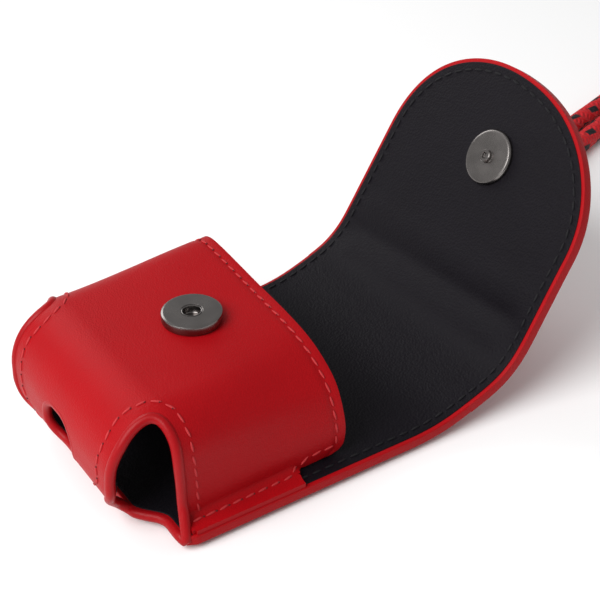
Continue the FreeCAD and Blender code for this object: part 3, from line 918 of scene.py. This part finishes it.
@dataclass
class Pocket:
    """The leather shell, drawn as rows from the mouth over the round end to the panel, in mm.

    Attributes:
        sheet: The sheet it is sewn to.
        end: Where the mouth lies, from the bottom end.
        end_radius: Rounding of the top into the bottom end.
        under_radius: Rounding of the bottom end's foot.
        under_drop: Straight part between the two.
        under_turn: How far the foot curls under, in degrees.
        top: Height of the top at the bottom end.
        side: Half the width.
        corner: Rounding of the top into the sides.
        foot: Height of the sides' foot.
        flange_top: Height of the sewn flange.
        flange_end: Where the flange ends.
        skin: Thickness of the leather.
        columns: Columns across the shell.
        flange_columns: Columns on each flange.
        hole_x: Middle of the push hole across the end.
        hole_z: Its height.
        hole_radius: Its radius.
        hole_wider: Half its straight part.
    """

    sheet: Sheet
    end: float = 54.6
    end_radius: float = 14.6
    under_radius: float = 9.0
    under_drop: float = 3.2
    under_turn: float = 72.0
    top: float = 30.4
    side: float = 32.1
    corner: float = 11.0
    foot: float = 4.6
    flange_top: float = 5.1
    flange_end: float = 41.2
    skin: float = 1.2
    columns: int = 150
    flange_columns: int = 9
    hole_x: float = -0.8
    hole_z: float = 12.6
    hole_radius: float = 6.3
    hole_wider: float = 1.2

    def __post_init__(self) -> None:
        """Works out the shell's sections and a whole shell to cast rays on."""
        self.length = (
            self.end - self.end_radius + self.end_radius * math.pi / 2
            + self.under_drop + self.under_radius * math.radians(self.under_turn)
        )
        self.ends = self.even(self.section_end())
        self.mouth = self.even([Vector((p.x, self.top - p.y)) for p in curve_through(MOUTH_SECTION, 6)])
        self.arch_points = curve_through(ARCH, 9)
        whole = self.surface(False)
        self.tree = BVHTree.FromBMesh(whole)
        whole.free()

    def section_end(self) -> list[Vector]:
        """Section of the shell at its bottom end, as (x, drop below the top)."""
        out = [Vector((-self.side, self.top - self.foot)), Vector((-self.side, self.corner))]
        for i in range(1, 13):
            a = math.pi / 2 * (1 - i / 12)
            x = -(self.side - self.corner) - self.corner * math.sin(a)
            out.append(Vector((x, self.corner * (1 - math.cos(a)))))
        return out + [Vector((-p.x, p.y)) for p in reversed(out)]

    def even(self, line: list[Vector]) -> list[Vector]:
        """The same line as evenly spaced columns."""
        total = sum((b - a).length for a, b in zip(line, line[1:]))
        return resample(line, total / self.columns)[: self.columns + 1]

    def path(self, v: float) -> tuple[float, float, float]:
        """Middle line over the top and round the end: y, z and its turn in degrees.

        Args:
            v: Length from the mouth.

        Returns:
            The place and the turn.
        """
        radius, low = self.end_radius, self.under_radius
        straight = self.end - radius
        if v <= straight:
            return self.end - v, self.top, 0.0
        a = (v - straight) / radius
        if a <= math.pi / 2:
            return radius * (1 - math.sin(a)), self.top - radius * (1 - math.cos(a)), math.degrees(a)
        rest = v - straight - radius * math.pi / 2
        middle = self.top - radius
        if rest <= self.under_drop:
            return 0.0, middle - rest, 90.0
        b = min((rest - self.under_drop) / low, math.radians(self.under_turn))
        return low * (1 - math.cos(b)), middle - self.under_drop - low * math.sin(b), 90.0 + math.degrees(b)

    def point(self, column: int, v: float) -> Vector:
        """Outer face of the shell at a column and a length from the mouth.

        Args:
            column: From 0 to columns; those before and after are the flanges.
            v: Length from the mouth.

        Returns:
            The point.
        """
        beyond = max(-column, column - self.columns, 0)
        column = min(max(column, 0), self.columns)
        y, z, turn = self.path(v)
        share = smoothstep(12, 58, y) if turn == 0.0 else 0.0
        at_end, at_mouth = self.ends[column], self.mouth[column]
        x, drop = at_end.x + (at_mouth.x - at_end.x) * share, at_end.y + (at_mouth.y - at_end.y) * share
        if turn:
            t = math.radians(turn)
            over = max(0.0, drop - self.corner)
            held = drop - over
            if turn > 60:
                over = min(over, 6.0)
            y, z = y + math.sin(t) * held, z - math.cos(t) * held - over
        else:
            z -= drop
        wall = smoothstep(26, 31, abs(x))
        sewn = 1 - smoothstep(self.flange_end - 1.0, self.flange_end + 3.0, y)
        z += (self.flange_top + 1.2 - self.foot) * sewn * wall * (1 - smoothstep(4.0, 12.0, z))
        free_corner = 2.8
        if z < free_corner + self.foot and abs(x) > 28 and not sewn:
            reach = max(0.0, free_corner + self.foot - z)
            y -= rounding(free_corner, reach) * smoothstep(46, 54.6, y)
        if turn == 0.0:
            y += 0.4 * smoothstep(40, 54.6, y) * smoothstep(10, 30, x) * smoothstep(5, 12, z)
        if beyond:
            u = beyond / self.flange_columns
            z = self.flange_top + (z - self.flange_top) * (1 - u) ** 3 - 0.15 * u
            x = math.copysign(abs(x) + (self.sheet.half - 0.25 - abs(x)) * (u**1.35), x)
        return Vector((x, y, z))

    @staticmethod
    def on_diagonal(co: Vector) -> tuple[float, float]:
        """How far a place lies across and outside the middle of its corner's diagonal."""
        flat = Vector((abs(co.x), co.y, 0)) - DIAGONAL_MIDDLE
        return flat.dot(ACROSS), flat.dot(OUTWARD)

    @staticmethod
    def corner_ray(q: float, z: float, side: float) -> tuple[Vector, Vector]:
        """A ray that looks along a corner's diagonal at a place of its outline."""
        origin = DIAGONAL_MIDDLE + ACROSS * q + OUTWARD * 45
        return Vector((origin.x * side, origin.y, z)), Vector((-OUTWARD.x * side, -OUTWARD.y, 0))

    @staticmethod
    def end_ray(x: float, z: float) -> tuple[Vector, Vector]:
        """A ray that looks at a place of the bottom end."""
        return Vector((x, -30, z)), Vector((0, 1, 0))

    def in_arch(self, co: Vector) -> bool:
        """Whether a place is inside an open corner's outline."""
        q, out = self.on_diagonal(co)
        if out <= -9 or abs(co.x) <= 14 or co.y >= 16:
            return False
        inside = False
        line = [Vector((-8.9, -9.0)), *self.arch_points, Vector((9.1, -9.0))]
        for a, b in zip(line, line[1:] + line[:1]):
            if (a.y > co.z) != (b.y > co.z) and q < a.x + (b.x - a.x) * (co.z - a.y) / (b.y - a.y):
                inside = not inside
        return inside

    def in_hole(self, co: Vector) -> bool:
        """Whether a place is inside the push hole's outline."""
        reach = max(0.0, abs(co.x - self.hole_x) - self.hole_wider)
        return co.y < 9 and math.hypot(reach, co.z - self.hole_z) < self.hole_radius

    def surface(self, cut: bool) -> bmesh.types.BMesh:
        """The shell's outer face, whole or with its openings cut.

        Args:
            cut: Whether to cut the open corners and the hole.

        Returns:
            The mesh.
        """
        rows = int(self.length / 0.6)
        wide = self.columns + 2 * self.flange_columns
        bm = bmesh.new()
        bmesh.ops.create_grid(bm, x_segments=wide, y_segments=rows, size=1.0)
        gone, sunk = [], []
        for vert in bm.verts:
            column = round((vert.co.x + 1) / 2 * wide) - self.flange_columns
            v = (vert.co.y + 1) / 2 * self.length
            vert.co = self.point(column, v)
            sunk.append((vert, 0.28 * math.exp(-(((v - 2.3) / 0.75) ** 2))))
            beyond = max(-column, column - self.columns, 0) / self.flange_columns
            low = self.sheet.start(vert.co.x) + 1.2
            high = self.flange_end + 2.2 * (1 - beyond) ** 2
            if beyond and not low < vert.co.y < high + 0.3:
                gone.append(vert)
            elif beyond and vert.co.y > high - 0.3:
                vert.co.y = high
        bm.normal_update()
        flip = 1.0 if sum(f.normal.z for f in bm.faces if f.calc_center_median().z > 27) > 0 else -1.0
        for vert, depth in sunk:
            vert.co -= vert.normal * depth * flip
        if cut:
            gone += [vert for vert in bm.verts if self.in_arch(vert.co) or self.in_hole(vert.co)]
        bmesh.ops.delete(bm, geom=list(set(gone)), context="VERTS")
        if cut:
            self.settle(bm)
        bmesh.ops.recalc_face_normals(bm, faces=bm.faces)
        if max(bm.faces, key=lambda f: f.calc_center_median().z).normal.z < 0:
            bmesh.ops.reverse_faces(bm, faces=bm.faces)
        bm.normal_update()
        return bm

    def settle(self, bm: bmesh.types.BMesh) -> None:
        """Moves the ragged rims of the openings onto their smooth outlines."""
        for vert in bm.verts:
            if not vert.is_boundary or vert.co.y > 17:
                continue
            x, z = vert.co.x - self.hole_x, vert.co.z - self.hole_z
            held = math.copysign(min(abs(x), self.hole_wider), x)
            far = math.hypot(x - held, z)
            q, _ = self.on_diagonal(vert.co)
            near = min(self.arch_points, key=lambda k: (k.x - q) ** 2 + (k.y - vert.co.z) ** 2)
            found = None
            if abs(x) < 9 and far < self.hole_radius + 1.6:
                k = self.hole_radius / far
                ray = self.end_ray(self.hole_x + held + (x - held) * k, self.hole_z + z * k)
                found = self.tree.ray_cast(*ray)[0]
            elif abs(vert.co.x) > 14 and vert.co.z > 6.0 and math.hypot(near.x - q, near.y - vert.co.z) < 1.8:
                found = self.tree.ray_cast(*self.corner_ray(near.x, near.y, math.copysign(1.0, vert.co.x)))[0]
            if found is not None and (found - vert.co).length < 3.0:
                vert.co = found

    def hits(self, rays: Iterable[tuple[Vector, Vector]]) -> Line:
        """Where rays meet the shell, with the outward normal there."""
        out = []
        for origin, way in rays:
            place, normal, _, _ = self.tree.ray_cast(origin, way)
            if place is not None:
                out.append((place, normal if normal.dot(way) < 0 else -normal))
        return out

    def beside(self, line: Line, reach: Callable[[float], float], side: int) -> Line:
        """A line that runs beside another one on the shell.

        Args:
            line: The line and its normals.
            reach: Distance between the two, by the share of the way along.
            side: 1 for the near corner and -1 for the far one.

        Returns:
            The new line and its normals.
        """
        out = []
        for i, (place, normal) in enumerate(line):
            way = (line[min(i + 1, len(line) - 1)][0] - line[max(i - 1, 0)][0]).normalized()
            off = way.cross(normal).normalized() * side
            found, up, _, _ = self.tree.find_nearest(place + off * -reach(i / (len(line) - 1)))
            if found is not None:
                out.append((found, up if up.dot(normal) > 0 else -up))
        return out

    def hole_line(self) -> Line:
        """The push hole's outline on the shell."""
        rays, radius = [], self.hole_radius - 0.05
        for a in steps(0.0, 2 * math.pi, 56)[:-1]:
            x, z = radius * math.cos(a), radius * math.sin(a)
            x += self.hole_x + (self.hole_wider if x > 0 else -self.hole_wider)
            rays.append(self.end_ray(x, self.hole_z + z))
        return self.hits(rays)

    def build(self, looks: Palette) -> None:
        """Makes the shell, its lining, beads, hole lip and stitches.

        Args:
            looks: The materials.
        """
        shell = solidified(self.surface(True), self.skin)
        made = piece("pocket_skin", shell, looks.red, 50)
        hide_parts("pocket_leather")
        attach(made, "case")
        inner = self.surface(True)
        rim = [v for v in inner.verts if v.co.y > self.end - 0.9]
        for v in inner.verts:
            v.co -= v.normal * (self.skin + 0.05)
        bmesh.ops.delete(inner, geom=rim, context="VERTS")
        made = piece("pocket_lining_cover", solidified(inner, 0.9), looks.black, 50)
        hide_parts("pocket_lining")
        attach(made, "case")
        for side, tag in SIDES:
            line = self.hits(self.corner_ray(k.x, k.y, side) for k in self.arch_points)
            self.bead(looks, line, side, tag)
            sewn = self.beside(line, lambda t: 4.7 - 1.3 * smoothstep(0.35, 0.75, t), side)
            self.sew(looks, f"{tag}_corner_stitches", [k for k in sewn if k[0].z > 6.4])
            self.sew(looks, f"{tag}_foot_stitches", self.foot_line(side))
        ring = [a - n * 1.0 for a, n in self.hole_line()]
        made = piece("push_hole_lip", tube(ring, 1.1, 16, closed=True), looks.edge)
        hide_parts("push_hole_binding")
        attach(made, "case")
        self.sew(looks, "mouth_stitches", self.mouth_line())

    def bead(self, looks: Palette, line: Line, side: int, tag: str) -> None:
        """The rolled bead round an open corner, closed along the back panel's rim.

        Args:
            looks: The materials.
            line: The corner's outline on the shell.
            side: 1 for the near corner and -1 for the far one.
            tag: The corner's name.
        """
        rim = [
            self.sheet.fold(side * x, self.sheet.start(x) + 0.35, -1.3)
            for x in (35.2, 33.4, 31.0, 28.6, 26.2, 23.8, 21.6, 19.9)
        ]
        over = [a - n * 0.55 for a, n in line if a.z > 8.0][::7]
        outer, inner = Vector((33.2 * side, 12.7, 6.4)), Vector((18.8 * side, 4.2, 4.6))
        loop = resample(curve_through([*over, outer, *rim, inner], closed=True), 0.7, closed=True)
        made = piece(f"{tag}_corner_bead", tube(loop, 1.2, 14, closed=True), looks.edge)
        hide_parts(f"{tag}_corner_binding")
        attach(made, "case")

    def sew(self, looks: Palette, name: str, line: Line) -> None:
        """Red stitches along a line on the pocket, with dark spheres between them that paint the shade in the
        needle holes.

        Args:
            looks: The materials.
            name: The stitches' name.
            line: Where they run.
        """
        sewn = stitches(
            name, line, SEW_PITCH, SEW_PITCH * 0.80, 0.28, looks.red_thread, "red_leather", slant=7.0)
        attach(sewn, "case")
        # dark spheres halfway between the stitches: painted shade in the needle holes
        bm = bmesh.new()
        for hole_shade in resample([a for a, _ in line], SEW_PITCH / 2)[1::2]:
            bmesh.ops.create_icosphere(bm, subdivisions=1, radius=0.27, matrix=Matrix.Translation(hole_shade))
        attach(piece(f"{name}_hole_shades", bm, looks.hole_shade), "case")

    def foot_line(self, side: int) -> Line:
        """Along the flange, up its end and back under the free part of the wall."""
        last = self.columns if side > 0 else 0
        turn = self.flange_end - 1.5
        line = []
        for y in steps(15.6, turn, 26):
            line.append((self.point(last + side * 4, self.end - y), Vector((0.25 * side, 0, 1))))
        for t in steps(0.0, 1.0, 8)[1:]:
            column = last + side * 4 * (1 - t) - side * 3 * t
            place = self.point(round(column), self.end - (turn + 4.2 * t))
            line.append((place, Vector((0.8 * side, 0, 0.6))))
        for y in steps(self.flange_end + 3.2, 50.4, 8)[1:]:
            line.append((self.point(last - side * 4, self.end - y), Vector((side, 0, 0.1))))
        return line

    def mouth_line(self) -> Line:
        """Along the pocket's mouth, just inside its rim."""
        line, inside = [], 2.3
        for column in range(6, self.columns - 5):
            a, b = self.point(column, inside), self.point(min(column + 1, self.columns), inside)
            normal = Vector((0, 1, 0)).cross((b - a).normalized())
            if normal.dot(a - Vector((0, a.y, 14))) < 0:
                normal = -normal
            line.append((a - normal.normalized() * 0.2, normal))
        return line


# ---------------------------------------------------------------- the snap and the cord


@dataclass
class Snap:
    """Both halves of the magnetic snap, in mm.

    Attributes:
        cap_y: Where the pocket's half stands, from the bottom end.
        cap_z: Height of its seat.
        disc_s: Where the flap's half sits along the sheet.
        disc_slope: Slope of the flap there, in degrees.
    """

    cap_y: float = 34.7
    cap_z: float = 30.1
    disc_s: float = 138.65
    disc_slope: float = 57.6

    # half profiles as (radius, height), from the middle over the face and round to the back
    CAP = (
        (0.0, 0.5), (1.9, 0.5), (1.98, 0.6), (2.03, 2.2), (2.1, 2.34), (2.24, 2.38), (2.34, 2.34),
        (2.38, 2.15), (2.46, 2.15), (2.5, 2.36),
        (2.6, 2.42), (2.75, 2.42), (6.2, 2.42), (6.35, 2.42), (6.65, 2.36),
        (6.88, 2.2), (7.0, 1.92), (7.0, 0.5), (6.92, 0.28), (6.6, 0.1), (6.6, -0.9), (0.0, -0.9),
    )
    DISC = (
        (0.0, 1.8), (0.6, 1.8), (0.7, 1.9), (0.75, 2.3), (0.85, 2.38), (1.4, 2.38), (1.55, 2.28), (1.6, 1.4),
        (1.7, 1.3), (1.9, 1.3), (6.1, 1.3), (6.3, 1.29), (6.65, 1.2), (6.9, 0.95), (7.0, 0.6), (7.0, 0.1),
        (6.7, -0.3), (0.0, -0.3),
    )

    @staticmethod
    def turned(
        name: str, profile: Iterable[tuple[float, float]], place: Matrix, looks: Palette,
    ) -> bpy.types.Object:
        """A turned piece from its half profile.

        Args:
            name: The piece's name.
            profile: Radius and height of each corner, in mm.
            place: Where its axis stands.
            looks: The materials.

        Returns:
            The piece.
        """
        bm = bmesh.new()
        verts = [bm.verts.new((r, 0.0, z)) for r, z in profile]
        edges = [bm.edges.new(pair) for pair in zip(verts, verts[1:])]
        bmesh.ops.spin(
            bm, geom=verts + edges, cent=(0, 0, 0), axis=(0, 0, 1), dvec=(0, 0, 0), angle=2 * math.pi,
            steps=64, use_merge=True,
        )
        bmesh.ops.remove_doubles(bm, verts=bm.verts, dist=0.001)
        bm.transform(place)
        return piece(name, bm, looks.gun, 30.0)

    def build(self, looks: Palette, sheet: Sheet) -> None:
        """Makes the cap on the pocket and the disc on the flap.

        Args:
            looks: The materials.
            sheet: The sheet that carries the disc.
        """
        upright = Matrix.Translation((0, self.cap_y, self.cap_z))
        made = self.turned("snap_cap_detail", self.CAP, upright, looks)
        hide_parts("snap_female_cap")
        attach(made, "case")
        base = Matrix.Translation(sheet.fold(0, self.disc_s, 0.0))
        slope = Matrix.Rotation(math.radians(self.disc_slope), 4, "X")
        made = self.turned("snap_disc_detail", self.DISC, base @ slope, looks)
        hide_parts("snap_male_disc", "snap_male_stud")
        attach(made, "flap_front")


@dataclass
class WristCord:
    """The braided wrist cord, a tube along its smooth route on the floor, in mm.

    Attributes:
        radius: Radius of the cord.
        route: Control points of its middle line, from the ferrule round the loop and back.
    """

    radius: float = 3.0
    route: tuple[tuple[float, float], ...] = (
        (-10.77, 106.06), (-21.5, 129.5), (-33.6, 154.0), (-47.6, 177.2), (-59.3, 202.0),
        (-67.0, 227.0), (-76.5, 251.0), (-88.0, 274.0), (-88.5, 298.5), (-70.5, 315.5),
        (-47.0, 309.5), (-36.5, 288.0), (-42.8, 264.2), (-53.5, 246.0), (-59.8, 229.5),
        (-52.3, 204.7), (-41.1, 180.7), (-26.9, 157.6), (-14.8, 132.7), (-4.61, 108.93),
    )

    def path(self) -> list[Vector]:
        """Points read from the route's curve, in metres."""
        data = bpy.data.curves.new("cord_line", "CURVE")
        data.dimensions = "3D"
        spline = data.splines.new("NURBS")
        spline.points.add(len(self.route) - 1)
        for point, (x, y) in zip(spline.points, self.route):
            point.co = (*row(x, y, self.radius), 1.0)
        spline.order_u = 3
        spline.use_endpoint_u = True
        spline.resolution_u = 24
        line = bpy.data.objects.new("cord_line", data)
        bpy.context.scene.collection.objects.link(line)
        mesh = bpy.data.meshes.new_from_object(line)
        path = [v.co.copy() for v in mesh.vertices]
        bpy.data.objects.remove(line)
        bpy.data.meshes.remove(mesh)
        bpy.data.curves.remove(data)
        return path

    def build(self, looks: Palette) -> None:
        """Args:
            looks: The materials.
        """
        path = self.path()
        back = TO_ROW.inverted()
        bm = tube(
            resample([back @ p for p in path], 1.2), self.radius - 0.05, 20,
            uv_scale=2 * math.pi * self.radius,
        )
        made = piece("wrist_cord", bm, looks.cord)
        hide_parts("strap_cord")
        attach(made, "case")
        length = sum((b - a).length for a, b in zip(path, path[1:]))


# ---------------------------------------------------------------- the studio


@dataclass
class Studio:
    """Floor, light and camera.

    Attributes:
        paper: Colour of the floor.
        sky: Strength of the even light from all round.
        azimuth: The camera's place round the case, in degrees.
        elevation: Its height above the case, in degrees.
        roll: Its lean, in degrees.
        distance: From the camera to the place it looks at, in metres.
        lens: Focal length, in mm.
    """

    paper: Colour = (0.96, 0.96, 0.96)
    sky: float = 0.42
    azimuth: float = 57.3
    elevation: float = 34.4
    roll: float = -0.6
    distance: float = 0.3138
    lens: float = 85.83

    def floor(self) -> None:
        """A wide pale floor."""
        bm = bmesh.new()
        bmesh.ops.create_grid(bm, x_segments=2, y_segments=2, size=3.0)
        mesh = bpy.data.meshes.new("floor")
        bm.to_mesh(mesh)
        bm.free()
        g = Graph("floor_paper")
        g.put(Base_Color=self.paper, Roughness=0.75)
        mesh.materials.append(g.material)
        made = bpy.data.objects.new("floor", mesh)
        bpy.context.scene.collection.objects.link(made)

    @staticmethod
    def area(name: str, place: Vector, size: float, power: float) -> None:
        """One soft round light that points at the case."""
        data = bpy.data.lights.new(name, "AREA")
        data.shape = "DISK"
        data.size = size
        data.energy = power
        made = bpy.data.objects.new(name, data)
        made.location = place
        made.rotation_euler = (row(0, 60, 20) - place).to_track_quat("-Z", "Y").to_euler()
        bpy.context.scene.collection.objects.link(made)

    def lights(self) -> None:
        """A broad soft key before the bottom end, a faint rim on the far side and an even sky."""
        world = bpy.data.worlds.new("sky")
        bpy.context.scene.world = world
        world.use_nodes = True
        back = world.node_tree.nodes["Background"]
        back.inputs[0].default_value = (1.0, 1.0, 1.0, 1.0)
        back.inputs[1].default_value = self.sky
        self.area("key", Vector((0.08, -0.72, 0.72)), 0.8, 11.5)
        self.area("rim", Vector((-0.80, -0.10, 0.42)), 0.5, 2.0)

    def camera(self) -> None:
        """The camera, a little above and to the right of the pocket's bottom end."""
        a, e, roll = (math.radians(d) for d in (self.azimuth, self.elevation, self.roll))
        back = Vector((math.sin(a) * math.cos(e), -math.cos(a) * math.cos(e), math.sin(e)))
        right = Vector((math.cos(a), math.sin(a), 0))
        up = back.cross(right)
        x, y = right * math.cos(roll) + up * math.sin(roll), up * math.cos(roll) - right * math.sin(roll)
        data = bpy.data.cameras.new("camera")
        data.lens = self.lens
        data.sensor_width = 36.0
        data.clip_start = 0.01
        made = bpy.data.objects.new("camera", data)
        turn = Matrix((x, y, back)).transposed().to_4x4()
        made.matrix_world = Matrix.Translation(row(16.2, 53.1, 37.5) + back * self.distance) @ turn
        bpy.context.scene.collection.objects.link(made)
        bpy.context.scene.camera = made

    def colours(self) -> None:
        """Plain colour handling, so that pale stays pale."""
        view = bpy.context.scene.view_settings
        view.view_transform = "Standard"
        view.look = "None"


def main() -> None:
    """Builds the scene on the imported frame."""
    logging.basicConfig(level=logging.INFO)
    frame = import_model()
    studio = Studio()
    studio.camera()
    looks = Palette()
    WristCord().build(looks)
    looks.dress(frame)
    sheet = Sheet()
    pocket = Pocket(sheet)
    sheet.build(looks, pocket.flange_end)
    pocket.build(looks)
    Snap().build(looks, sheet)
    studio.floor()
    studio.lights()
    studio.colours()


if __name__ == "__main__":
    main()
